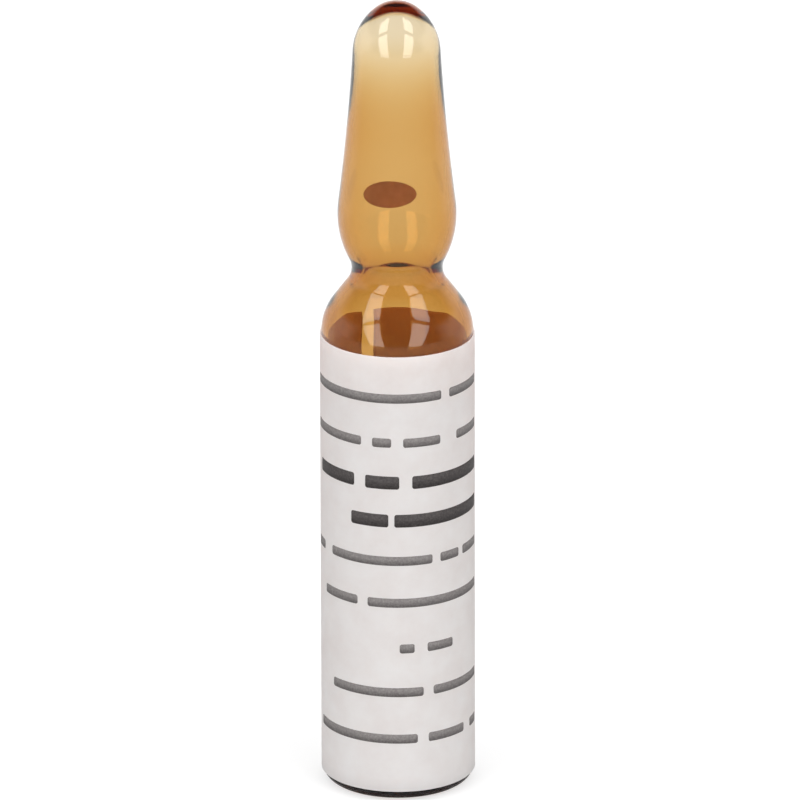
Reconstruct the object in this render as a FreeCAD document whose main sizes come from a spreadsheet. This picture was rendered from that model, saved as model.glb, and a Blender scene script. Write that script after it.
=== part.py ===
import FreeCAD, Part
import math
import os
import Sketcher

# Sealed glass ampoule, standing on its base.
# The origin is the centre of the base on the surface it stands on, and +Z runs up the axis.
# The back of the ampoule, with the dot and the opening cut, faces +Y.

Vector = FreeCAD.Vector

# Driving dimensions, in millimetres and degrees
size = {
    # Outside of the body, from the standing ring up to the shoulder
    "body_dia": 10.75,
    "body_height": 33.62,
    "heel_radius": 0.95,
    "ring_width": 0.5,
    "base_rise": 0.5,
    # Outside of the shoulder, neck, bulb and head
    "shoulder_radius": 4.0,
    "shoulder_slope": 36.9,
    "neck_dia": 6.44,
    "neck_radius": 1.73,
    "bulb_dia": 8.39,
    "bulb_rise": 4.04,
    "stem_dia": 6.2,
    "stem_rise": 11.82,
    "flare_radius": 162.0,
    "crown_inset": 0.66,
    "tip_rise": 3.8,
    # Thickness of the glass
    "body_wall": 0.5,
    "base_wall": 0.6,
    "hollow_heel": 0.8,
    "neck_wall": 0.65,
    "bulb_wall": 0.5,
    "stem_wall": 0.35,
    "tip_wall": 0.75,
    "hollow_top_dia": 3.0,
    # Paper label and the bare strip between its ends
    "label_foot": 0.78,
    "label_margin": 0.07,
    "label_thickness": 0.1,
    "label_gap": 1.0,
    "gap_bearing": 115.0,
    # Enamel dot on the bulb
    "dot_width": 4.2,
    "dot_height": 2.1,
    "dot_thickness": 0.05,
    "dot_bearing": 98.7,
    # Opening cut at the neck, below the dot
    "score_length": 3.0,
    "score_width": 0.16,
    "score_depth": 0.12,
    # Liquid
    "headspace": 5.0,
    "meniscus_rise": 1.1,
    "meniscus_width": 1.5,
}

document = FreeCAD.newDocument("ampoule")
sheet = document.addObject("Spreadsheet::Sheet", "sizes")
for row, (alias, value) in enumerate(size.items(), start=1):
    sheet.set("A%d" % row, alias)
    sheet.set("B%d" % row, str(value))
    sheet.setAlias("B%d" % row, alias)
document.recompute()

# Ends of a sketched line or arc, its centre, and the numbers of the sketch's own axes
START, END, CENTRE = range(1, 4)
FLAT_AXIS, UP_AXIS = range(-1, -3, -1)

body_r = size["body_dia"] / 2
neck_r = size["neck_dia"] / 2
bulb_r = size["bulb_dia"] / 2
stem_r = size["stem_dia"] / 2


def along(origin, target, distance):
    """The point at a distance from origin on the line to target."""
    return origin + (target - origin) * (distance / origin.distanceToPoint(target))


def meeting(centre_a, reach_a, centre_b, reach_b):
    """The right-hand meeting point of two circles, with centre_b above centre_a."""
    gap = centre_b - centre_a
    span = gap.Length
    foot = (span**2 + reach_a**2 - reach_b**2) / (2 * span)
    offset = math.sqrt(reach_a**2 - foot**2)
    across = Vector(gap.y, -gap.x, 0)
    return centre_a + gap * (foot / span) + across * (offset / span)


def on_origin_plane(body, role, name, bearing=None):
    """A new sketch on one of the body's own origin planes, turned about +Z to a bearing."""
    sketch = body.newObject("Sketcher::SketchObject", name)
    plane = next(item for item in body.Origin.OriginFeatures if item.Role == role)
    sketch.AttachmentSupport = [(plane, "")]
    sketch.MapMode = "FlatFace"
    if bearing:
        sketch.AttachmentOffset = FreeCAD.Placement(
            Vector(0, 0, 0), FreeCAD.Rotation(Vector(0, 1, 0), 1)
        )
        sketch.setExpression("AttachmentOffset.Rotation.Angle", bearing)
    return sketch


def new_body(name):
    """An empty body whose label names its file."""
    body = document.addObject("PartDesign::Body", name)
    body.Label = name
    return body


class Outline:
    """A chain of lines and arcs in a sketch, each joined to the one before it."""

    def __init__(self, sketch, start):
        self.sketch = sketch
        self.start = start
        self.point = start
        self.pieces = []

    def line(self, end, smooth=True):
        """A straight piece to end."""
        number = self.sketch.addGeometry(Part.LineSegment(self.point, end), False)
        return self.join(number, START, END, end, smooth)

    def arc(self, centre, end, clockwise=False, smooth=True):
        """A round piece about centre to end."""
        first = self.point - centre
        last = end - centre
        angles = [math.atan2(first.y, first.x), math.atan2(last.y, last.x)]
        if clockwise:
            angles.reverse()
        circle = Part.Circle(centre, Vector(0, 0, 1), first.Length)
        number = self.sketch.addGeometry(Part.ArcOfCircle(circle, *angles), False)
        if clockwise:
            return self.join(number, END, START, end, smooth)
        return self.join(number, START, END, end, smooth)

    def join(self, number, near, far, end, smooth):
        """Ties a piece to the last one: tangent where the outline is smooth."""
        if self.pieces:
            before, _, before_far = self.pieces[-1]
            kind = "Tangent" if smooth else "Coincident"
            self.add(kind, before, before_far, number, near)
        self.pieces.append((number, near, far))
        self.point = end
        return number

    def close(self):
        """A last line back to the start, at a corner."""
        number = self.line(self.start, smooth=False)
        first, near, _ = self.pieces[0]
        self.add("Coincident", number, END, first, near)
        return number

    def add(self, kind, *terms):
        """A constraint of the sketch, and its number."""
        return self.sketch.addConstraint(Sketcher.Constraint(kind, *terms))

    def tie(self, name, formula, kind, *terms):
        """A named dimension that follows the sheet."""
        number = self.add(kind, *terms)
        self.sketch.renameConstraint(number, name)
        self.sketch.setExpression("Constraints." + name, formula)

    def show(self, name, kind, *terms):
        """A named measure that the outline sets, for other sketches to read."""
        number = self.add(kind, *terms)
        self.sketch.setDriving(number, False)
        self.sketch.renameConstraint(number, name)

    def on_axis(self, axis, number, point):
        """Keeps a point of a piece on one of the sketch's axes."""
        self.add("PointOnObject", number, point, axis)

    def out(self, name, formula, number, point):
        """Distance of a point from the ampoule's axis."""
        place = self.sketch.getPoint(number, point).x
        self.tie(name, formula, "DistanceX", FLAT_AXIS, START, number, point, place)

    def height(self, name, formula, number, point):
        """Height of a point above the surface that the ampoule stands on."""
        place = self.sketch.getPoint(number, point).y
        self.tie(name, formula, "DistanceY", FLAT_AXIS, START, number, point, place)

    def rise(self, name, formula, low, high):
        """Height of one point above another, each given as a piece and a point of it."""
        climb = self.sketch.getPoint(*high).y - self.sketch.getPoint(*low).y
        self.tie(name, formula, "DistanceY", *low, *high, climb)

    def radius(self, name, formula, number):
        """Radius of an arc."""
        self.tie(name, formula, "Radius", number, self.sketch.Geometry[number].Radius)


def turned(body, kind, sketch, sweep=None):
    """A Revolution or Groove about the ampoule's axis, over a sweep centred on the sketch."""
    feature = body.newObject("PartDesign::" + kind, sketch.Name + "_turned")
    feature.Profile = sketch
    feature.ReferenceAxis = (sketch, ["V_Axis"])
    feature.Angle = 360
    if sweep:
        feature.Midplane = True
        feature.setExpression("Angle", sweep)
    sketch.Visibility = False
    return feature


# Height of the neck's narrowest circle: two arcs with a straight slope between them
slope = math.radians(size["shoulder_slope"])
bend = size["shoulder_radius"] + size["neck_radius"]
slope_length = (body_r - neck_r - bend * (1 - math.cos(slope))) / math.sin(slope)
neck_z = size["body_height"] + bend * math.sin(slope) + slope_length * math.cos(slope)
bulb_z = neck_z + size["bulb_rise"]
stem_z = bulb_z + size["stem_rise"]
top_z = stem_z + size["tip_rise"]
neck_centre = Vector(neck_r + size["neck_radius"], neck_z, 0)


# Amber glass, outside
glass = new_body("ampoule_glass")
outside = on_origin_plane(glass, "XZ_Plane", "outside")
outer = Outline(outside, Vector(0, size["base_rise"], 0))

ring_r = body_r - size["heel_radius"]
inner_ring_r = ring_r - size["ring_width"]
heel_centre = Vector(ring_r, size["heel_radius"], 0)
shoulder_centre = Vector(body_r - size["shoulder_radius"], size["body_height"], 0)
slope_out = Vector(math.cos(slope), math.sin(slope), 0)

push_up = outer.line(Vector(inner_ring_r, 0, 0))
ring_line = outer.line(Vector(ring_r, 0, 0), smooth=False)
heel_arc = outer.arc(heel_centre, Vector(body_r, size["heel_radius"], 0))
body_line = outer.line(Vector(body_r, size["body_height"], 0))
shoulder_arc = outer.arc(shoulder_centre, shoulder_centre + slope_out * size["shoulder_radius"])
slope_line = outer.line(neck_centre - slope_out * size["neck_radius"])
crown_r = stem_r - size["crown_inset"]
crown_rise = size["tip_rise"] - crown_r
side_r = (stem_r**2 + crown_rise**2 - crown_r**2) / (2 * size["crown_inset"])
side_centre = Vector(stem_r - side_r, stem_z, 0)
crown_centre = Vector(0, top_z - crown_r, 0)
bulb_spread = bulb_r - neck_r
bulb_arc_r = (bulb_spread**2 + size["bulb_rise"] ** 2) / (2 * bulb_spread) - size["neck_radius"]
bulb_centre = Vector(bulb_r - bulb_arc_r, bulb_z, 0)
flare_centre = meeting(
    bulb_centre, bulb_arc_r + size["flare_radius"], side_centre, side_r + size["flare_radius"]
)
side_end = crown_centre + (side_centre - crown_centre) * (crown_r / (crown_r - side_r))
neck_arc = outer.arc(neck_centre, along(bulb_centre, neck_centre, bulb_arc_r), clockwise=True)
lower_bulb = outer.arc(bulb_centre, Vector(bulb_r, bulb_z, 0))
upper_bulb = outer.arc(bulb_centre, along(bulb_centre, flare_centre, bulb_arc_r))
flare_arc = outer.arc(flare_centre, along(side_centre, flare_centre, side_r), clockwise=True)
side_arc = outer.arc(side_centre, side_end)
crown_arc = outer.arc(crown_centre, Vector(0, top_z, 0))
outer_axis = outer.close()
crown_formula = "(sizes.stem_dia / 2 - sizes.crown_inset)"

outer.on_axis(UP_AXIS, outer_axis, START)
outer.on_axis(UP_AXIS, outer_axis, END)
outer.on_axis(FLAT_AXIS, ring_line, START)
outer.on_axis(FLAT_AXIS, ring_line, END)
outer.add("Vertical", body_line)
outer.height("base_rise", "sizes.base_rise", outer_axis, END)
outer.out(
    "ring_inside",
    "sizes.body_dia / 2 - sizes.heel_radius - sizes.ring_width",
    push_up,
    END,
)
outer.radius("heel_radius", "sizes.heel_radius", heel_arc)
outer.out("body_radius", "sizes.body_dia / 2", body_line, START)
outer.height("body_height", "sizes.body_height", body_line, END)
outer.radius("shoulder_radius", "sizes.shoulder_radius", shoulder_arc)
outer.tie("slope", "90 + sizes.shoulder_slope", "Angle", slope_line, math.pi / 2 + slope)
outer.radius("neck_radius", "sizes.neck_radius", neck_arc)
outer.out("neck_reach", "sizes.neck_dia / 2 + sizes.neck_radius", neck_arc, CENTRE)
outer.out("bulb_reach", "sizes.bulb_dia / 2", lower_bulb, END)
outer.rise("bulb_rise", "sizes.bulb_rise", (neck_arc, CENTRE), (lower_bulb, END))
outer.add("Horizontal", lower_bulb, CENTRE, lower_bulb, END)
outer.add("Equal", lower_bulb, upper_bulb)
outer.radius("flare_radius", "sizes.flare_radius", flare_arc)
outer.rise("stem_rise", "sizes.stem_rise", (lower_bulb, END), (side_arc, CENTRE))
outer.radius(
    "side_radius",
    "((sizes.stem_dia / 2)^2 + (sizes.tip_rise - %s)^2 - %s^2) / (2 * sizes.crown_inset)"
    % (crown_formula, crown_formula),
    side_arc,
)
outer.radius("crown_radius", crown_formula, crown_arc)
outer.rise("tip_rise", "sizes.tip_rise", (side_arc, CENTRE), (crown_arc, END))
outer.on_axis(UP_AXIS, crown_arc, CENTRE)
outer.show("neck_height", "DistanceY", FLAT_AXIS, START, neck_arc, CENTRE, neck_z)
outer.show("bulb_arc", "Radius", lower_bulb, bulb_arc_r)
whole = turned(glass, "Revolution", outside)


# Inside of the base: a flat floor and a slanting heel up to the wall
wall_r = body_r - size["body_wall"]
floor_z = size["base_rise"] + size["base_wall"]


def draw_floor(outline, wall_top):
    """Adds the inside of the base and the wall up to wall_top, and ties them to the sheet."""
    floor = outline.line(Vector(wall_r - size["hollow_heel"], floor_z, 0))
    heel = outline.line(Vector(wall_r, floor_z + size["hollow_heel"], 0), smooth=False)
    wall = outline.line(Vector(wall_r, wall_top, 0), smooth=False)
    outline.add("Horizontal", floor)
    outline.height("floor_height", "sizes.base_rise + sizes.base_wall", floor, END)
    outline.out(
        "floor_reach", "sizes.body_dia / 2 - sizes.body_wall - sizes.hollow_heel", floor, END
    )
    outline.rise("heel_rise", "sizes.hollow_heel", (heel, START), (heel, END))
    outline.out("wall_reach", "sizes.body_dia / 2 - sizes.body_wall", wall, START)
    outline.add("Vertical", wall)
    return wall


# Hollow of the ampoule, closed all round, with the thickest glass at the shoulder and neck
hollow = on_origin_plane(glass, "XZ_Plane", "hollow")
inner = Outline(hollow, Vector(0, floor_z, 0))
hollow_top_r = size["hollow_top_dia"] / 2
hollow_wall = draw_floor(inner, size["body_height"])
shoulder_line = inner.line(Vector(neck_r - size["neck_wall"], neck_z, 0), smooth=False)
bulb_line = inner.line(Vector(bulb_r - size["bulb_wall"], bulb_z, 0), smooth=False)
stem_line = inner.line(Vector(stem_r - size["stem_wall"], stem_z, 0), smooth=False)
crown_line = inner.line(Vector(hollow_top_r, top_z - size["tip_wall"], 0), smooth=False)
top_line = inner.line(Vector(0, top_z - size["tip_wall"], 0), smooth=False)
inner_axis = inner.close()
inner.on_axis(UP_AXIS, inner_axis, START)
inner.on_axis(UP_AXIS, inner_axis, END)
inner.height("body_height", "sizes.body_height", hollow_wall, END)
inner.height("neck_height", "outside.Constraints.neck_height", shoulder_line, END)
inner.out("neck_reach", "sizes.neck_dia / 2 - sizes.neck_wall", shoulder_line, END)
inner.rise("bulb_rise", "sizes.bulb_rise", (bulb_line, START), (bulb_line, END))
inner.out("bulb_reach", "sizes.bulb_dia / 2 - sizes.bulb_wall", bulb_line, END)
inner.rise("stem_rise", "sizes.stem_rise", (stem_line, START), (stem_line, END))
inner.out("stem_reach", "sizes.stem_dia / 2 - sizes.stem_wall", stem_line, END)
inner.rise("tip_rise", "sizes.tip_rise - sizes.tip_wall", (crown_line, START), (crown_line, END))
inner.out("top_reach", "sizes.hollow_top_dia / 2", crown_line, END)
inner.add("Horizontal", top_line)
hollowed = turned(glass, "Groove", hollow)

# Opening cut: a short shallow V across the neck, below the dot
cut = on_origin_plane(glass, "XZ_Plane", "score", "sizes.dot_bearing")
notch_point = Vector(neck_r - size["score_depth"], neck_z, 0)
notch = Outline(cut, notch_point)
notch_face = neck_r + size["score_depth"]
lower_side = notch.line(Vector(notch_face, neck_z - size["score_width"], 0))
mouth = notch.line(Vector(notch_face, neck_z + size["score_width"], 0), smooth=False)
upper_side = notch.close()
notch.out("notch_reach", "sizes.neck_dia / 2 - sizes.score_depth", lower_side, START)
notch.height("notch_height", "outside.Constraints.neck_height", lower_side, START)
notch.add("Vertical", mouth)
notch.add("Equal", lower_side, upper_side)
notch.out("mouth_reach", "sizes.neck_dia / 2 + sizes.score_depth", mouth, START)
notch.rise("mouth_width", "2 * sizes.score_width", (mouth, START), (mouth, END))
scored = turned(glass, "Groove", cut, "sizes.score_length / (sizes.neck_dia / 2) * 180 / pi")

# Paper label, wrapped round the body with a bare strip between its ends
label = new_body("paper_label")
paper = on_origin_plane(label, "XZ_Plane", "paper", "sizes.gap_bearing + 180")
label_r = body_r + size["label_thickness"]
label_top = size["body_height"] - size["label_margin"]
strip = Outline(paper, Vector(body_r, size["label_foot"], 0))
foot = strip.line(Vector(label_r, size["label_foot"], 0))
face = strip.line(Vector(label_r, label_top, 0), smooth=False)
head = strip.line(Vector(body_r, label_top, 0), smooth=False)
back = strip.close()
strip.add("Horizontal", foot)
strip.add("Vertical", face)
strip.add("Horizontal", head)
strip.add("Vertical", back)
strip.out("paper_inside", "sizes.body_dia / 2", foot, START)
strip.out("paper_outside", "sizes.body_dia / 2 + sizes.label_thickness", foot, END)
strip.height("label_foot", "sizes.label_foot", foot, START)
strip.height("label_top", "sizes.body_height - sizes.label_margin", head, START)
turned(label, "Revolution", paper, "360 - sizes.label_gap / (sizes.body_dia / 2) * 180 / pi")

# Enamel dot: a skin on the bulb's widest circle, trimmed to an oval seen along its bearing
skin = new_body("dot_skin")
skin_section = on_origin_plane(skin, "XZ_Plane", "skin_section")
glaze_arc_r = bulb_arc_r + size["dot_thickness"]


def on_arc(radius, height):
    """The point of the bulb's arc, or of one concentric with it, at a height above its centre."""
    return bulb_centre + Vector(math.sqrt(radius**2 - height**2), height, 0)


glaze = Outline(skin_section, on_arc(bulb_arc_r, size["dot_height"]))
bulb_side = glaze.arc(bulb_centre, on_arc(bulb_arc_r, -size["dot_height"]), clockwise=True)
under = glaze.line(on_arc(glaze_arc_r, -size["dot_height"]), smooth=False)
outer_side = glaze.arc(bulb_centre, on_arc(glaze_arc_r, size["dot_height"]), smooth=False)
over = glaze.close()
bulb_height = "outside.Constraints.neck_height / 1 mm + sizes.bulb_rise"
glaze.radius("bulb_arc", "outside.Constraints.bulb_arc", bulb_side)
glaze.out(
    "bulb_reach",
    "sizes.bulb_dia / 2 - outside.Constraints.bulb_arc / 1 mm",
    bulb_side,
    CENTRE,
)
glaze.height("bulb_height", bulb_height, bulb_side, CENTRE)
glaze.add("Coincident", bulb_side, CENTRE, outer_side, CENTRE)
glaze.radius("glaze_arc", "outside.Constraints.bulb_arc / 1 mm + sizes.dot_thickness", outer_side)
glaze.add("Horizontal", under)
glaze.add("Horizontal", over)
glaze.height("glaze_foot", bulb_height + " - sizes.dot_height", under, END)
glaze.height("glaze_head", bulb_height + " + sizes.dot_height", over, START)
turned(skin, "Revolution", skin_section)

bar = new_body("dot_bar")
oval_sketch = on_origin_plane(bar, "YZ_Plane", "oval", "sizes.dot_bearing")
oval = Outline(oval_sketch, Vector(0, bulb_z, 0))
rim = oval_sketch.addGeometry(
    Part.Ellipse(
        Vector(size["dot_width"] / 2, bulb_z, 0),
        Vector(0, bulb_z + size["dot_height"] / 2, 0),
        Vector(0, bulb_z, 0),
    ),
    False,
)
oval_sketch.exposeInternalGeometry(rim)
long_axis = rim + 1
short_axis = rim + 2
oval.add("Horizontal", long_axis)
oval.on_axis(UP_AXIS, rim, CENTRE)
oval.height("bulb_height", bulb_height, rim, CENTRE)
oval.tie("dot_width", "sizes.dot_width", "Distance", long_axis, size["dot_width"])
oval.tie("dot_height", "sizes.dot_height", "Distance", short_axis, size["dot_height"])
bar_pad = bar.newObject("PartDesign::Pad", "bar")
bar_pad.Profile = oval_sketch
bar_pad.setExpression("Length", "sizes.bulb_dia")

dot = document.addObject("Part::Common", "break_dot")
dot.Label = "break_dot"
dot.Base = skin
dot.Tool = bar

# Water: the hollow filled to a level surface whose rim climbs the wall
water = new_body("water_fill")
fill = on_origin_plane(water, "XZ_Plane", "fill")
level_z = size["body_height"] - size["headspace"]
contact_z = level_z + size["meniscus_rise"]
pool = Outline(fill, Vector(0, floor_z, 0))
pool_wall = draw_floor(pool, contact_z)
rim_line = pool.line(Vector(wall_r - size["meniscus_width"], level_z, 0), smooth=False)
level_line = pool.line(Vector(0, level_z, 0), smooth=False)
pool_axis = pool.close()
pool.on_axis(UP_AXIS, pool_axis, START)
pool.on_axis(UP_AXIS, pool_axis, END)
pool.add("Horizontal", level_line)
level = "sizes.body_height - sizes.headspace"
pool.height("contact", level + " + sizes.meniscus_rise", pool_wall, END)
pool.height("level", level, level_line, END)
pool.out(
    "level_reach", "sizes.body_dia / 2 - sizes.body_wall - sizes.meniscus_width", rim_line, END
)
turned(water, "Revolution", fill)

document.recompute()

# Nothing is written unless every object is sound and the cuts have cut
for item in document.Objects:
    if {"Invalid", "Error"} & set(item.State):
        raise RuntimeError("%s failed: %s" % (item.Name, item.getStatusString()))
    if item.TypeId == "Sketcher::SketchObject" and not item.FullyConstrained:
        raise RuntimeError("%s isn't fully constrained" % item.Name)
pieces = (glass, label, dot, water)
for piece in pieces:
    if piece.Shape.isNull() or not piece.Shape.isValid() or not piece.Shape.Solids:
        raise RuntimeError("%s has no valid shape" % piece.Label)
hollow_volume = whole.Shape.Volume - hollowed.Shape.Volume
score_volume = hollowed.Shape.Volume - scored.Shape.Volume
if hollow_volume < water.Shape.Volume:
    raise RuntimeError("the hollow is too small for the water: %.1f" % hollow_volume)
if score_volume < 0.001:
    raise RuntimeError("the opening cut takes nothing away: %.4f" % score_volume)

os.makedirs("parts", exist_ok=True)
for piece in pieces:
    piece.Shape.exportStep("parts/%s.step" % piece.Label)
    box = piece.Shape.optimalBoundingBox(True, False)
    print(
        "%-14s %9.3f mm3  x %.3f %.3f  y %.3f %.3f  z %.3f %.3f"
        % (
            piece.Label,
            piece.Shape.Volume,
            box.XMin,
            box.XMax,
            box.YMin,
            box.YMax,
            box.ZMin,
            box.ZMax,
        )
    )
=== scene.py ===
import math

import bmesh
import bpy
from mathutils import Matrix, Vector


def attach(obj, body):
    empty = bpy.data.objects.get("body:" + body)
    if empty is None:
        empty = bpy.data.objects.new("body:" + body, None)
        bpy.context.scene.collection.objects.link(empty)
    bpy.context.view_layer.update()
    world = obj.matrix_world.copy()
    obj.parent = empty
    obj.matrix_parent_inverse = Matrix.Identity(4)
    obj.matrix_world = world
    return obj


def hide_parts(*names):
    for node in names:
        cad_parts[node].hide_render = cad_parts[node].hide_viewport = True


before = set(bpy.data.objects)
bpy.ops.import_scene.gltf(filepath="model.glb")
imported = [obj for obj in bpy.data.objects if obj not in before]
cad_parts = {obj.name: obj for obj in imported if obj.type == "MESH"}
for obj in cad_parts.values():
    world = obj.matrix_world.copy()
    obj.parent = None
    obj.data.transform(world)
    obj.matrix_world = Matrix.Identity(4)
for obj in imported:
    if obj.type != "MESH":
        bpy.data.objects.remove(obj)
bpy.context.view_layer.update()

# Sealed glass ampoule, standing on its base. The origin is the centre of the base, +Z runs up
# the axis, and the back, with the dot and the opening cut, faces +Y.
# Sizes are in millimetres unless a comment says otherwise.
MM = 0.001

# Outside of the body, from the standing ring up to the shoulder
body_r = 5.375
body_height = 33.62
heel_r = 0.95
ring_width = 0.5
ring_round = 0.4
base_rise = 0.5
# Outside of the shoulder, neck, bulb and head
shoulder_arc_r = 4.0
slope = math.radians(36.9)
neck_r = 3.22
neck_arc_r = 1.73
bulb_r = 4.195
bulb_rise = 4.04
stem_r = 3.1
stem_rise = 11.82
flare_r = 162.0
crown_inset = 0.66
tip_rise = 3.8
# Hollow of the body
body_wall = 0.5
base_wall = 0.6
hollow_heel = 1.0
# Paper label and the bare strip between its ends
label_foot = 0.78
label_margin = 0.07
label_thickness = 0.1
label_gap = 1.0
gap_bearing = math.radians(115.0)
# Enamel dot, by its half width and half height, and the opening cut below it
dot_across = 2.1
dot_up = 1.05
dot_bearing = math.radians(98.7)
score_length = 3.0
score_width = 0.12
score_depth = 0.025
score_fade = 0.35
# Liquid
headspace = 5.0
meniscus_rise = 1.1
meniscus_reach = 0.95

# Heights, radii and centres that follow from the sizes
bend = shoulder_arc_r + neck_arc_r
slope_length = (body_r - neck_r - bend * (1 - math.cos(slope))) / math.sin(slope)
neck_z = body_height + bend * math.sin(slope) + slope_length * math.cos(slope)
bulb_z = neck_z + bulb_rise
stem_z = bulb_z + stem_rise
top_z = stem_z + tip_rise
neck_centre = Vector((neck_r + neck_arc_r, neck_z))
bulb_spread = bulb_r - neck_r
bulb_arc_r = (bulb_spread**2 + bulb_rise**2) / (2 * bulb_spread) - neck_arc_r
bulb_centre = Vector((bulb_r - bulb_arc_r, bulb_z))
crown_r = stem_r - crown_inset
crown_rise = tip_rise - crown_r
side_r = (stem_r**2 + crown_rise**2 - crown_r**2) / (2 * crown_inset)
crown_centre = Vector((0, top_z - crown_r))
side_centre = Vector((stem_r - side_r, stem_z))
wall_r = body_r - body_wall
floor_z = base_rise + base_wall
label_r = body_r + label_thickness
label_top = body_height - label_margin
level = body_height - headspace

# Thickness of the glass above the body, measured across: each entry is a height and a thickness
WALLS = (
    (body_height, 0.5),
    (body_height + 1.4, 0.58),
    (body_height + 2.6, 0.62),
    (neck_z - 0.6, 0.62),
    (neck_z + 0.6, 0.54),
    (neck_z + 2.0, 0.48),
    (bulb_z, 0.45),
    (46.0, 0.42),
    (50.0, 0.42),
    (52.0, 0.32),
    (53.6, 0.21),
    (55.0, 0.14),
    (57.0, 0.13),
)

# Ridge of glass inside the neck: the height of its crest, its thickness all round, what the
# back adds, how far the back's share spreads round the axis in radians, and how far the ridge
# spreads up and down
RIDGE_Z = 37.3
RIDGE = 0.06
RIDGE_BACK = 0.22
RIDGE_BACK_WIDTH = 0.3
RIDGE_REACH = 0.28

# Dome of the hollow, which runs parallel to the outside from DOME_START up, and the cap of
# glass above it. The cap's underside leans to the back, CAP_FLOOR from the crown's centre. It
# falls away to both sides by CAP_ROUND times the distance squared, and blends over CAP_SOFT.
# It leaves alone whatever lies less than CAP_LOWEST from that centre along the lean.
DOME_START = 56.2
CAP_LEAN = math.radians(22.0)
CAP_FLOOR = 1.6
CAP_ROUND = 0.12
CAP_SOFT = 0.08
CAP_LOWEST = 0.5

# Fine rings across the opening cut, on each side of the neck's narrowest place
NECK_RINGS = 10
NECK_STEP = 0.02

# Steps up the wall of the hollow and along its dome
WALL_STEP = 0.08
DOME_STEP = 0.07

# Room for rounding where two heights are compared
TINY = 0.001


# Outlines in the plane through the axis: x is the radius, y the height


def smooth_step(value):
    """Rises from 0 to 1 with value, level at both ends."""
    value = min(max(value, 0.0), 1.0)
    return value * value * (3 - 2 * value)


def along(origin, target, distance):
    """The point at a distance from origin on the line to target."""
    return origin + (target - origin).normalized() * distance


def meeting(low, low_reach, high, high_reach):
    """The outer meeting point of two circles, one above the other."""
    gap = high - low
    foot = (gap.length_squared + low_reach**2 - high_reach**2) / (2 * gap.length)
    offset = math.sqrt(low_reach**2 - foot**2)
    away = Vector((gap.y, -gap.x)).normalized()
    return low + gap.normalized() * foot + away * offset


def arc(points, centre, end, clockwise=False, spacing=0.14):
    """Adds the arc about centre from the last point to end."""
    first = points[-1] - centre
    last = end - centre
    start = math.atan2(first.y, first.x)
    turn = math.atan2(last.y, last.x) - start
    if clockwise and turn > 0:
        turn -= math.tau
    if not clockwise and turn < 0:
        turn += math.tau
    count = max(3, round(abs(turn) * first.length / spacing))
    for i in range(1, count + 1):
        angle = start + turn * i / count
        points.append(centre + Vector((math.cos(angle), math.sin(angle))) * first.length)


def line(points, end, count):
    """Adds a straight run to end, in count steps."""
    start = points[-1].copy()
    for i in range(1, count + 1):
        points.append(start.lerp(end, i / count))


def base_outline():
    """The underside, from its middle out to the standing ring, and the heel."""
    ring_r = body_r - heel_r
    inner_ring_r = ring_r - ring_width
    push_up_r = (inner_ring_r**2 + base_rise**2) / (2 * base_rise) - ring_round
    push_up_centre = Vector((0, base_rise - push_up_r))
    round_centre = Vector((inner_ring_r, ring_round))
    push_up_end = along(push_up_centre, round_centre, push_up_r)
    heel_centre = Vector((ring_r, heel_r))
    points = [Vector((0, base_rise))]
    arc(points, push_up_centre, push_up_end, clockwise=True, spacing=0.3)
    arc(points, round_centre, Vector((inner_ring_r, 0)), spacing=0.03)
    line(points, Vector((ring_r, 0)), count=3)
    arc(points, heel_centre, Vector((body_r, heel_r)), spacing=0.08)
    return points


def outer_outline():
    """The whole outside, each arc above the base tangent to the next."""
    slope_out = Vector((math.cos(slope), math.sin(slope)))
    shoulder_centre = Vector((body_r - shoulder_arc_r, body_height))
    flare_centre = meeting(bulb_centre, bulb_arc_r + flare_r, side_centre, side_r + flare_r)
    neck_end = along(bulb_centre, neck_centre, bulb_arc_r)
    bulb_end = along(bulb_centre, flare_centre, bulb_arc_r)
    flare_end = along(side_centre, flare_centre, side_r)
    crown_start = crown_centre + (side_centre - crown_centre) * (crown_r / (crown_r - side_r))
    points = base_outline()
    line(points, Vector((body_r, body_height)), count=16)
    arc(points, shoulder_centre, shoulder_centre + slope_out * shoulder_arc_r)
    line(points, neck_centre - slope_out * neck_arc_r, count=8)
    arc(points, neck_centre, neck_end, clockwise=True, spacing=0.05)
    arc(points, bulb_centre, bulb_end)
    arc(points, flare_centre, flare_end, clockwise=True, spacing=0.4)
    arc(points, side_centre, crown_start)
    arc(points, crown_centre, Vector((0, top_z)))
    return points


def floor_outline(points, reach, height, heel):
    """Adds the inside of the base, up to the foot of the wall."""
    line(points, Vector((reach - heel, height)), count=12)
    heel_centre = Vector((reach - heel, height + heel))
    arc(points, heel_centre, Vector((reach, height + heel)), spacing=0.1)


def spline(knots, place):
    """Value at a place of the smooth curve through knots, each a place and a value."""
    count = len(knots)
    gaps = [knots[i + 1][0] - knots[i][0] for i in range(count - 1)]
    rises = [(knots[i + 1][1] - knots[i][1]) / gaps[i] for i in range(count - 1)]
    bends = [0.0] * count
    scale = [0.0] * count
    for i in range(1, count - 1):
        pivot = 2 * (gaps[i - 1] + gaps[i]) - gaps[i - 1] * scale[i - 1]
        scale[i] = gaps[i] / pivot
        bends[i] = (6 * (rises[i] - rises[i - 1]) - gaps[i - 1] * bends[i - 1]) / pivot
    for i in range(count - 2, 0, -1):
        bends[i] -= scale[i] * bends[i + 1]
    i = 0
    while i < count - 2 and place > knots[i + 1][0]:
        i += 1
    a = (knots[i + 1][0] - place) / gaps[i]
    b = 1 - a
    curve = ((a**3 - a) * bends[i] + (b**3 - b) * bends[i + 1]) * gaps[i] ** 2 / 6
    return a * knots[i][1] + b * knots[i + 1][1] + curve


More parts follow.
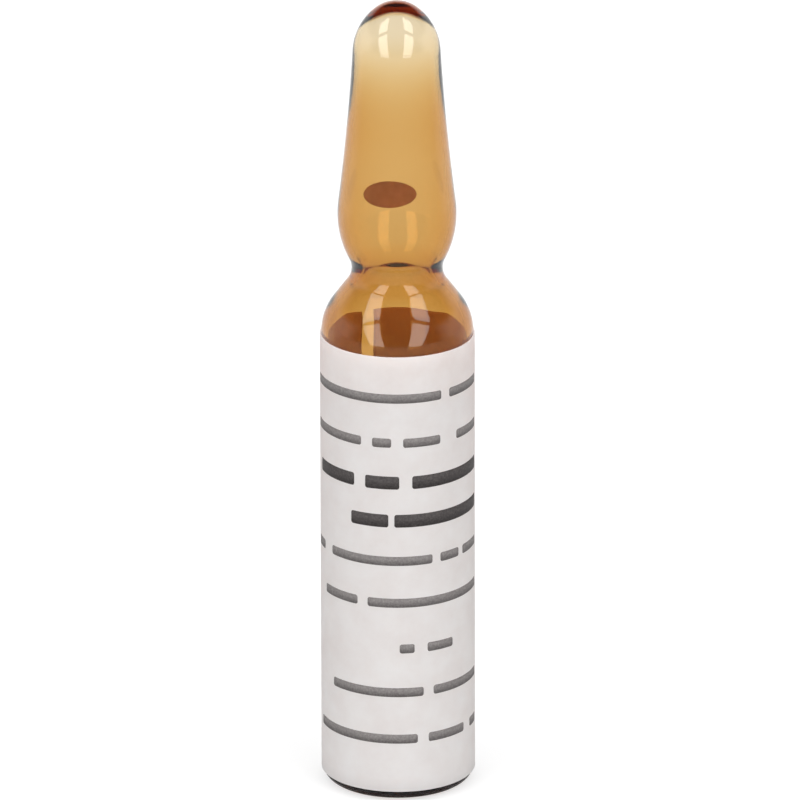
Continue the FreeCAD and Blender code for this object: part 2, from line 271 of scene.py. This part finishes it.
def outside_radius(height, skin):
    """Radius of the outside at a height."""
    for low, high in zip(skin, skin[1:]):
        if height <= high.y:
            return low.x + (high.x - low.x) * (height - low.y) / (high.y - low.y)
    return skin[-1].x


def inner_outline():
    """The whole hollow, its wall above the body as thick as WALLS says."""
    points = [Vector((0, floor_z))]
    floor_outline(points, wall_r, floor_z, hollow_heel)
    line(points, Vector((wall_r, body_height)), count=16)
    skin = [p for p in outer_outline() if p.y >= body_height - TINY]
    steps = round((DOME_START - body_height) / WALL_STEP)
    for i in range(1, steps + 1):
        height = body_height + (DOME_START - body_height) * i / steps
        points.append(Vector((outside_radius(height, skin) - spline(WALLS, height), height)))
    reach = (points[-1] - side_centre).length
    arc(points, side_centre, along(side_centre, crown_centre, reach), spacing=DOME_STEP)
    arc(points, crown_centre, Vector((0, top_z - side_r + reach)), spacing=DOME_STEP)
    return points


# Meshes


def new_piece(name, mesh_maker, node, material):
    """Makes a piece of the object, which stands for a solid where it names a node."""
    bm = bmesh.new()
    mesh_maker(bm)
    for face in bm.faces:
        face.smooth = True
    mesh = bpy.data.meshes.new(name)
    bm.to_mesh(mesh)
    bm.free()
    mesh.materials.append(material)
    piece = bpy.data.objects.new(name, mesh)
    bpy.context.scene.collection.objects.link(piece)
    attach(piece, "root")
    if node:
        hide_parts(node)


def vertex(bm, radius, angle, height):
    """A new point at a radius and an angle round the axis, and at a height."""
    place = (radius * math.cos(angle), radius * math.sin(angle), height)
    return bm.verts.new(Vector(place) * MM)


def lathe(bm, points, segments, shape=None):
    """A closed skin of revolution whose outline starts and ends on the axis."""
    rings = []
    for point in points[1:-1]:
        ring = []
        for i in range(segments):
            angle = math.tau * i / segments
            radius = shape(point.x, point.y, angle) if shape else point.x
            ring.append(vertex(bm, radius, angle, point.y))
        rings.append(ring)
    low = vertex(bm, 0, 0, points[0].y)
    high = vertex(bm, 0, 0, points[-1].y)
    for i in range(segments):
        j = (i + 1) % segments
        bm.faces.new((low, rings[0][j], rings[0][i]))
        for lower, upper in zip(rings, rings[1:]):
            bm.faces.new((lower[i], lower[j], upper[j], upper[i]))
        bm.faces.new((high, rings[-1][i], rings[-1][j]))
    bmesh.ops.recalc_face_normals(bm, faces=bm.faces)


def sweep(bm, rings):
    """Joins rings of points, one after the other, and closes both ends."""
    for last, ring in zip(rings, rings[1:]):
        for k in range(len(ring)):
            n = (k + 1) % len(ring)
            bm.faces.new((last[k], ring[k], ring[n], last[n]))
    bm.faces.new(rings[0])
    bm.faces.new(list(reversed(rings[-1])))


def scored(radius, height, angle):
    """The opening cut: a short V across the neck below the dot, shallow at its ends."""
    if abs(height - neck_z) > score_width:
        return radius
    away = abs((angle - dot_bearing + math.pi) % math.tau - math.pi) * neck_r
    run = smooth_step((score_length / 2 - away) / score_fade + 0.5)
    return radius - score_depth * run * (1 - abs(height - neck_z) / score_width)


def drawn(radius, height, angle):
    """The ridge of glass that narrows the hollow at the neck, thicker at the back."""
    back = math.exp(-(((angle - math.pi / 2) / RIDGE_BACK_WIDTH) ** 2))
    ridge = (RIDGE + RIDGE_BACK * back) * math.exp(-(((height - RIDGE_Z) / RIDGE_REACH) ** 2))
    return radius - ridge


def capped(spot):
    """Keeps the hollow below the cap of glass at the tip, whose underside leans to the back."""
    centre = Vector((0, 0, crown_centre.y))
    reach = spot / MM - centre
    rise = reach.y * math.sin(CAP_LEAN) + reach.z * math.cos(CAP_LEAN)
    if rise < CAP_LOWEST:
        return spot
    ceiling = CAP_FLOOR - CAP_ROUND * reach.x**2
    kept = -CAP_SOFT * math.log(math.exp(-rise / CAP_SOFT) + math.exp(-ceiling / CAP_SOFT))
    return (centre + reach * (kept / rise)) * MM


def make_glass(bm):
    """The outside, with fine rings across the opening cut, and the hollow within it."""
    outer = outer_outline()
    band = NECK_STEP * NECK_RINGS
    neck = []
    for i in range(-NECK_RINGS, NECK_RINGS + 1):
        height = neck_z + NECK_STEP * i
        reach = math.sqrt(neck_arc_r**2 - (height - neck_z) ** 2)
        neck.append(Vector((neck_centre.x - reach, height)))
    below = [p for p in outer if p.y < neck_z - band]
    above = [p for p in outer if p.y > neck_z + band]
    lathe(bm, below + neck + above, segments=176, shape=scored)
    inner = bmesh.new()
    lathe(inner, inner_outline(), segments=160, shape=drawn)
    bmesh.ops.reverse_faces(inner, faces=inner.faces)
    copy = {v: bm.verts.new(capped(v.co)) for v in inner.verts}
    for face in inner.faces:
        bm.faces.new([copy[v] for v in face.verts])
    inner.free()


# How far the liquid, the paper and the dot sink into the glass, so that no air shows between
WATER_SINK = 0.03
PAPER_SINK = 0.015
DOT_SINK = 0.012

# Steps of the liquid's surface, from the wall to its middle
WATER_STEPS = 40


def make_water(bm):
    """The liquid, whose surface climbs the wall in a curve."""
    reach = wall_r + WATER_SINK
    foot = floor_z - WATER_SINK
    points = [Vector((0, foot))]
    floor_outline(points, reach, foot, hollow_heel + WATER_SINK)
    line(points, Vector((reach, level + meniscus_rise)), count=10)
    for i in range(1, WATER_STEPS + 1):
        radius = reach * (1 - i / WATER_STEPS)
        lift = meniscus_rise * math.exp(-(reach - radius) / meniscus_reach)
        points.append(Vector((radius, level + lift)))
    lathe(bm, points, segments=128)


# Paper: how far its face lies below the ink, how far its edges are rounded, and its steps
PAPER_INSET = 0.006
PAPER_EDGE = 0.03
PAPER_ROWS = 33
PAPER_COLUMNS = 180


def make_label(bm):
    """Paper wrapped round the body, with softened edges and a bare strip at its seam."""
    inside = body_r - PAPER_SINK
    outside = label_r - PAPER_INSET
    bevel = 0.3 * PAPER_EDGE
    section = [
        (inside, label_foot),
        (outside - PAPER_EDGE, label_foot),
        (outside - bevel, label_foot + bevel),
        (outside, label_foot + PAPER_EDGE),
    ]
    for i in range(1, PAPER_ROWS):
        section.append((outside, label_foot + (label_top - label_foot) * i / PAPER_ROWS))
    section += [
        (outside, label_top - PAPER_EDGE),
        (outside - bevel, label_top - bevel),
        (outside - PAPER_EDGE, label_top),
        (inside, label_top),
    ]
    gap = label_gap / body_r
    rings = []
    for i in range(PAPER_COLUMNS + 1):
        angle = gap_bearing + gap / 2 + (math.tau - gap) * i / PAPER_COLUMNS
        rings.append([vertex(bm, radius, angle, height) for radius, height in section])
    sweep(bm, rings)
    bmesh.ops.recalc_face_normals(bm, faces=bm.faces)


# Enamel dot: how high it bulges, how its oval tilts and bends on the bulb, its rings, each as
# a share of the way from its middle to its edge, and the points on each ring
DOT_LIFT = 0.044
DOT_TILT = 0.055
DOT_BEND = 0.045
DOT_SHARES = (0.15, 0.3, 0.45, 0.6, 0.72, 0.82, 0.9, 0.95, 0.98, 1.0)
DOT_TURNS = 64


def make_dot(bm):
    """A fired enamel oval that bulges a little from the bulb and sits in its skin."""
    front = Vector((math.cos(dot_bearing), math.sin(dot_bearing), 0))
    side = Vector((-math.sin(dot_bearing), math.cos(dot_bearing), 0))

    def spot(share, turn, outward):
        angle = math.tau * turn / DOT_TURNS
        lift = DOT_LIFT * math.sqrt(1 - share**6) if outward else -DOT_SINK
        across = dot_across * share * math.cos(angle)
        up = dot_up * share * math.sin(angle) + DOT_TILT * across + DOT_BEND * across**2
        reach = bulb_centre.x + math.sqrt((bulb_arc_r + lift) ** 2 - up**2)
        out = math.sqrt(reach**2 - across**2)
        return bm.verts.new((front * out + side * across + Vector((0, 0, bulb_z + up))) * MM)

    edges = []
    for outward in (True, False):
        rings = [[spot(share, i, outward) for i in range(DOT_TURNS)] for share in DOT_SHARES]
        centre = spot(0, 0, outward)
        edges.append(rings[-1])
        for i in range(DOT_TURNS):
            j = (i + 1) % DOT_TURNS
            bm.faces.new((centre, rings[0][i], rings[0][j]))
            for low, high in zip(rings, rings[1:]):
                bm.faces.new((low[i], high[i], high[j], low[j]))
    outer, inner = edges
    for i in range(DOT_TURNS):
        j = (i + 1) % DOT_TURNS
        bm.faces.new((outer[i], inner[i], inner[j], outer[j]))
    bmesh.ops.recalc_face_normals(bm, faces=bm.faces)


# Camera, in metres: the photograph's view, 20 degrees down from a metre away
VIEW_DOWN = math.radians(20.0)
VIEW_ROLL = math.radians(-0.14)
VIEW_DISTANCE = 1.0
AIM = Vector((0.00018, 0, 0.028413))
SENSOR_MM = 36.0
LENS_MM = 636.5


def make_camera():
    """The camera in front of the ampoule."""
    camera = bpy.data.objects.new("camera", bpy.data.cameras.new("camera"))
    bpy.context.scene.collection.objects.link(camera)
    back = Vector((0, -math.cos(VIEW_DOWN), math.sin(VIEW_DOWN)))
    camera.location = AIM + back * VIEW_DISTANCE
    camera.rotation_euler = (math.pi / 2 - VIEW_DOWN, 0, 0)
    camera.rotation_euler.rotate_axis("Z", VIEW_ROLL)
    camera.data.sensor_width = SENSOR_MM
    camera.data.lens = LENS_MM
    camera.data.clip_start = 0.05
    camera.data.clip_end = 50
    bpy.context.scene.camera = camera


# Materials, whose noise scales are per metre and bump distances in metres
WHITE = (1, 1, 1, 1)


class Nodes:
    """The node tree of a material or a world, with short calls to add and link nodes."""

    def __init__(self, owner, output="ShaderNodeOutputMaterial"):
        owner.use_nodes = True
        self.owner = owner
        self.tree = owner.node_tree
        self.tree.nodes.clear()
        self.output = self.add(output)

    def add(self, kind, values=(), **settings):
        """A new node with its settings, and values on its sockets."""
        node = self.tree.nodes.new(kind)
        for key, value in settings.items():
            setattr(node, key, value)
        for name, value in dict(values).items():
            node.inputs[name].default_value = value
        return node

    def link(self, source, target, out=0, into=0):
        """Leads an output of the source into the target."""
        self.tree.links.new(source.outputs[out], target.inputs[into])

    def noise(self, scale, detail=3.0, roughness=0.5):
        """Noise that lies still on the object."""
        node = self.add(
            "ShaderNodeTexNoise", {"Scale": scale, "Detail": detail, "Roughness": roughness}
        )
        self.link(self.add("ShaderNodeTexCoord"), node, "Object", "Vector")
        return node

    def ramp(self, source, *stops):
        """A colour ramp, each stop a position and a colour."""
        node = self.add("ShaderNodeValToRGB")
        elements = node.color_ramp.elements
        while len(elements) < len(stops):
            elements.new(0.5)
        for element, (position, colour) in zip(elements, stops):
            element.position = position
            element.color = (*colour, 1)
        self.link(source, node, 0, "Fac")
        return node

    def bump(self, height, surface, strength, distance):
        """Roughens a surface by a height."""
        node = self.add("ShaderNodeBump", {"Strength": strength, "Distance": distance})
        self.link(height, node, 0, "Height")
        self.link(node, surface, 0, "Normal")

    def combine(self, operation, *sources):
        """A calculation from sources, each a node with its output, or a number."""
        node = self.add("ShaderNodeMath", operation=operation)
        for i, source in enumerate(sources):
            if isinstance(source, tuple):
                self.link(source[0], node, source[1], i)
            else:
                node.inputs[i].default_value = source
        return node

    def fade(self, source, out, start, end, low=0.0, high=1.0, kind="LINEAR"):
        """Runs from low to high while the source runs from start to end."""
        limits = {"From Min": start, "From Max": end, "To Min": low, "To Max": high}
        node = self.add("ShaderNodeMapRange", limits, interpolation_type=kind)
        self.link(source, node, out, "Value")
        return node

    def choose(self, switch, out, first, second):
        """The first surface, or the second where the switch is on."""
        node = self.add("ShaderNodeMixShader")
        self.link(switch, node, out, 0)
        self.link(first, node, 0, 1)
        self.link(second, node, 0, 2)
        return node

    def finish(self, surface):
        """Gives the tree its surface."""
        self.link(surface, self.output, 0, "Surface")
        return self.owner


def material_nodes(name):
    """The nodes of a new material."""
    return Nodes(bpy.data.materials.new(name))


def clear_surface(nodes, ior):
    """A smooth, clear surface that bends light."""
    return nodes.add(
        "ShaderNodeBsdfPrincipled",
        {"Base Color": WHITE, "Roughness": 0.0, "IOR": ior, "Transmission Weight": 1.0},
    )


def lit_through(nodes, surface, tint):
    """Lets lamps shine through: a shadow ray passes the surface as if it were clear."""
    clear = nodes.add("ShaderNodeBsdfTransparent", {"Color": (*tint, 1)})
    path = nodes.add("ShaderNodeLightPath")
    return nodes.choose(path, "Is Shadow Ray", surface, clear)


def amber_glass():
    """Clear glass that takes up blue and green light with depth, and waves a little."""
    nodes = material_nodes("amber_glass")
    glass = clear_surface(nodes, ior=1.5)
    nodes.bump(nodes.noise(260, detail=2.0), glass, strength=0.06, distance=0.0002)
    volume = nodes.add(
        "ShaderNodeVolumeAbsorption", {"Color": (0.8616, 0.6467, 0.16, 1), "Density": 3000.0}
    )
    nodes.link(volume, nodes.output, 0, "Volume")
    return nodes.finish(lit_through(nodes, glass, (1.0, 0.88, 0.66)))


def clear_water():
    """Clear liquid."""
    nodes = material_nodes("clear_liquid")
    water = clear_surface(nodes, ior=1.333)
    return nodes.finish(lit_through(nodes, water, (0.98, 0.98, 0.98)))


# Share of the light that goes through the paper
PAPER_THROUGH = 0.42


def label_paper():
    """Faintly blotched paper that lets some light through, seen only from its outer side."""
    nodes = material_nodes("label_paper")
    paper = nodes.add(
        "ShaderNodeBsdfPrincipled", {"Roughness": 0.82, "Specular IOR Level": 0.25}
    )
    tone = nodes.ramp(
        nodes.noise(420, detail=4.0, roughness=0.6),
        (0.3, (0.87, 0.835, 0.825)),
        (0.52, (0.9, 0.877, 0.87)),
        (0.75, (0.93, 0.92, 0.917)),
    )
    nodes.link(tone, paper, 0, "Base Color")
    fibre = nodes.noise(5200, detail=4.0, roughness=0.65)
    nodes.bump(fibre, paper, strength=0.25, distance=0.00002)
    through = nodes.add("ShaderNodeBsdfTranslucent")
    nodes.link(tone, through, 0, "Color")
    sheet = nodes.add("ShaderNodeMixShader", {0: PAPER_THROUGH})
    nodes.link(paper, sheet, 0, 1)
    nodes.link(through, sheet, 0, 2)
    within = nodes.add("ShaderNodeBsdfTransparent")
    side = nodes.add("ShaderNodeNewGeometry")
    return nodes.finish(nodes.choose(side, "Backfacing", sheet, within))


def printing_ink(name, dark, pale):
    """Matt ink with a fine grain between two tones."""
    nodes = material_nodes(name)
    ink = nodes.add(
        "ShaderNodeBsdfPrincipled", {"Roughness": 0.6, "Specular IOR Level": 0.3}
    )
    tone = nodes.ramp(nodes.noise(7000, roughness=0.6), (0.35, dark), (0.7, pale))
    nodes.link(tone, ink, 0, "Base Color")
    return nodes.finish(ink)


def fired_enamel():
    """Glossy off-white enamel, faintly mottled."""
    nodes = material_nodes("enamel")
    enamel = nodes.add(
        "ShaderNodeBsdfPrincipled", {"Roughness": 0.28, "Specular IOR Level": 0.5}
    )
    mottle = nodes.noise(1500)
    tone = nodes.ramp(mottle, (0.3, (0.5, 0.45, 0.36)), (0.7, (0.62, 0.57, 0.48)))
    nodes.link(tone, enamel, 0, "Base Color")
    nodes.bump(mottle, enamel, strength=0.2, distance=0.00003)
    return nodes.finish(enamel)


# Generic print: bars in the places of the words, on the front of the label. Each line gives
# the photograph's row that it stands on, its weight, and the columns where its bars start
# and end. The frame is 800 pixels square.
MIDDLE_ROW = 400
CENTRE_COLUMN = 397.4
PIXELS_PER_MM = 14.1445
PRINT_LINES = (
    (408, "plain", ((320, 441), (449, 474))),
    (452, "plain", ((320, 361), (372, 391), (403, 440), (456, 474))),
    (492, "bold", ((322, 354), (365, 399), (412, 474))),
    (530, "bold", ((351, 388), (394, 474))),
    (570, "plain", ((320, 325), (332, 432), (440, 458), (462, 474))),
    (612, "plain", ((326, 357), (367, 474))),
    (658, "plain", ((399, 414), (427, 452))),
    (702, "plain", ((333, 423), (433, 474))),
    (749, "plain", ((322, 417), (428, 463), (469, 474))),
)
# Height of a bar, and how far its middle lies above its line
BAR_HEIGHT = {"plain": 0.68, "bold": 0.96}
BAR_MIDDLE = {"plain": 0.66, "bold": 0.68}
# Inner and outer face of the ink, its round corners with their steps, and its steps across
INK_INSIDE = label_r - 0.012
INK_OUTSIDE = label_r - 0.001
BAR_CORNER = 0.16
CORNER_SHARES = (0.1, 0.3, 0.6, 1.0)
BAR_STEP = 0.2
# Bars stop at this share of the way to the label's side
SIDE_LIMIT = 0.995


def paper_place(column):
    """Distance round the label, from its front, of a column of the photograph."""
    across = (column - CENTRE_COLUMN) / PIXELS_PER_MM / label_r
    return math.asin(min(max(across, -SIDE_LIMIT), SIDE_LIMIT)) * label_r


def paper_height(row):
    """Height on the front of the label of a row of the photograph."""
    above = (MIDDLE_ROW - row) / PIXELS_PER_MM + label_r * math.sin(VIEW_DOWN)
    return AIM.z / MM + above / math.cos(VIEW_DOWN)


def add_bar(bm, left, right, bottom, top):
    """A thin plate with round corners that follows the paper's curve."""
    columns = max(3, round((right - left) / BAR_STEP))
    edges = [left + (right - left) * i / columns for i in range(columns + 1)]
    for share in CORNER_SHARES:
        edges.append(left + BAR_CORNER * share)
        edges.append(right - BAR_CORNER * share)
    rings = []
    for edge in sorted(set(round(edge, 5) for edge in edges)):
        inward = BAR_CORNER - min(edge - left, right - edge)
        cut = 0.0
        if inward > 0:
            cut = BAR_CORNER - math.sqrt(max(BAR_CORNER**2 - inward**2, 0))
        angle = edge / label_r - math.pi / 2
        corners = (
            (INK_INSIDE, bottom + cut),
            (INK_OUTSIDE, bottom + cut),
            (INK_OUTSIDE, top - cut),
            (INK_INSIDE, top - cut),
        )
        rings.append([vertex(bm, radius, angle, height) for radius, height in corners])
    sweep(bm, rings)


def make_bars(weight):
    """The maker of all bars of one weight."""

    def make(bm):
        for row, kind, words in PRINT_LINES:
            if kind != weight:
                continue
            middle = paper_height(row) + BAR_MIDDLE[kind]
            half = BAR_HEIGHT[kind] / 2
            for start, end in words:
                add_bar(bm, paper_place(start), paper_place(end), middle - half, middle + half)
        bmesh.ops.recalc_face_normals(bm, faces=bm.faces)

    return make


# Stage, in metres: a white table, two tall windows in front and a plain room
TABLE_RADIUS = 6.0
TABLE_DROP = 0.00002
TABLE_TONE = 0.34
# Glow of the table for light through the glass and for the camera, which gets a little more.
# Mirrored light meets it only behind the ampoule, where it grows to full over GLOW_DEPTH.
FLOOR_GLOW = 0.45
FLOOR_CAMERA_GLOW = 0.14
GLOW_DEPTH = 0.08
# Windows: their height above the horizon, and their edges across and up as shares of their
# distance
WINDOW_RADIANCE = 3.7
WINDOW_ANGLE = math.radians(42.0)
WINDOW_DISTANCE = 2.0
WINDOWS = {"left": (-1.17, -0.46), "right": (0.38, 1.04)}
PANES = {"low": (-0.9, 0.14), "high": (0.28, 0.95)}
# Room: how dim it is high up and in front, between which heights and depths of a direction it
# fades, and how bright it is for light that lands on a matt face
ROOM_DIM = 0.1
ROOM_HEIGHTS = (0.25, 0.5)
ROOM_DEPTHS = (-0.5, 0.0)
ROOM_FILL = 1.05


def make_floor():
    """A pale table that keeps the ampoule's soft shadow."""
    bm = bmesh.new()
    bmesh.ops.create_circle(bm, cap_ends=True, segments=96, radius=TABLE_RADIUS)
    mesh = bpy.data.meshes.new("table")
    bm.to_mesh(mesh)
    bm.free()
    floor = bpy.data.objects.new("table", mesh)
    floor.location.z = -TABLE_DROP
    bpy.context.scene.collection.objects.link(floor)
    nodes = material_nodes("table_white")
    tone = (TABLE_TONE, TABLE_TONE, TABLE_TONE, 1)
    cloth = nodes.add("ShaderNodeBsdfDiffuse", {"Color": tone})
    glow = nodes.add("ShaderNodeEmission", {"Color": WHITE})
    path = nodes.add("ShaderNodeLightPath")
    place = nodes.add("ShaderNodeSeparateXYZ")
    nodes.link(nodes.add("ShaderNodeNewGeometry"), place, "Position")
    behind = nodes.fade(place, "Y", 0.0, GLOW_DEPTH)
    mirrored = nodes.combine("MULTIPLY", (path, "Is Glossy Ray"), (behind, "Result"))
    straight = nodes.combine("MAXIMUM", (path, "Is Camera Ray"), (path, "Is Transmission Ray"))
    seen = nodes.combine("MAXIMUM", (straight, 0), (mirrored, 0))
    extra = nodes.combine("MULTIPLY", (path, "Is Camera Ray"), FLOOR_CAMERA_GLOW)
    strength = nodes.combine("MULTIPLY_ADD", (seen, 0), FLOOR_GLOW, (extra, 0))
    nodes.link(strength, glow, 0, "Strength")
    both = nodes.add("ShaderNodeAddShader")
    nodes.link(cloth, both, 0, 0)
    nodes.link(glow, both, 0, 1)
    mesh.materials.append(nodes.finish(both))


def make_lights():
    """Two tall windows in one leaning plane, each with a crossbar."""
    towards = Vector((0, -math.cos(WINDOW_ANGLE), math.sin(WINDOW_ANGLE)))
    up = Vector((0, math.sin(WINDOW_ANGLE), math.cos(WINDOW_ANGLE)))
    right = Vector((1, 0, 0))
    for name, (left_edge, right_edge) in WINDOWS.items():
        for part, (low, high) in PANES.items():
            lamp = bpy.data.lights.new("window_%s_%s" % (name, part), "AREA")
            lamp.shape = "RECTANGLE"
            lamp.size = (right_edge - left_edge) * WINDOW_DISTANCE
            lamp.size_y = (high - low) * WINDOW_DISTANCE
            lamp.energy = WINDOW_RADIANCE * math.pi * lamp.size * lamp.size_y
            lamp.color = WHITE[:3]
            pane = bpy.data.objects.new(lamp.name, lamp)
            across = (left_edge + right_edge) / 2
            rise = (low + high) / 2
            pane.location = (towards + right * across + up * rise) * WINDOW_DISTANCE
            pane.rotation_euler = towards.to_track_quat("Z", "Y").to_euler()
            pane.visible_camera = False
            bpy.context.scene.collection.objects.link(pane)


def make_room():
    """White for the camera. Else white low down and behind, and dim high up and in front."""
    world = bpy.data.worlds.new("room")
    nodes = Nodes(world, "ShaderNodeOutputWorld")
    background = nodes.add("ShaderNodeBackground", {"Color": WHITE})
    path = nodes.add("ShaderNodeLightPath")
    place = nodes.add("ShaderNodeSeparateXYZ")
    nodes.link(nodes.add("ShaderNodeTexCoord"), place, "Generated")
    upward = nodes.fade(place, "Z", *ROOM_HEIGHTS, 1.0, ROOM_DIM, kind="SMOOTHSTEP")
    backward = nodes.fade(place, "Y", *ROOM_DEPTHS, ROOM_DIM, 1.0, kind="SMOOTHSTEP")
    darker = nodes.combine("MINIMUM", (upward, "Result"), (backward, "Result"))
    seen = nodes.combine("MAXIMUM", (path, "Is Camera Ray"), (darker, 0))
    fill = nodes.add("ShaderNodeMix", {"B": ROOM_FILL}, data_type="FLOAT")
    nodes.link(path, fill, "Is Diffuse Ray", "Factor")
    nodes.link(seen, fill, 0, "A")
    nodes.link(fill, background, "Result", "Strength")
    bpy.context.scene.world = nodes.finish(background)


make_camera()
make_floor()
make_lights()
make_room()
new_piece("ampoule_shell", make_glass, "ampoule_glass", amber_glass())
new_piece("label_wrap", make_label, "paper_label", label_paper())
new_piece("enamel_dot", make_dot, "break_dot", fired_enamel())
new_piece("water_column", make_water, "water_fill", clear_water())
plain_ink = printing_ink("ink_plain", (0.12, 0.11, 0.108), (0.2, 0.185, 0.18))
bold_ink = printing_ink("ink_bold", (0.035, 0.03, 0.03), (0.07, 0.062, 0.06))
new_piece("print_plain", make_bars("plain"), None, plain_ink)
new_piece("print_bold", make_bars("bold"), None, bold_ink)

bpy.context.scene.view_settings.view_transform = "Standard"
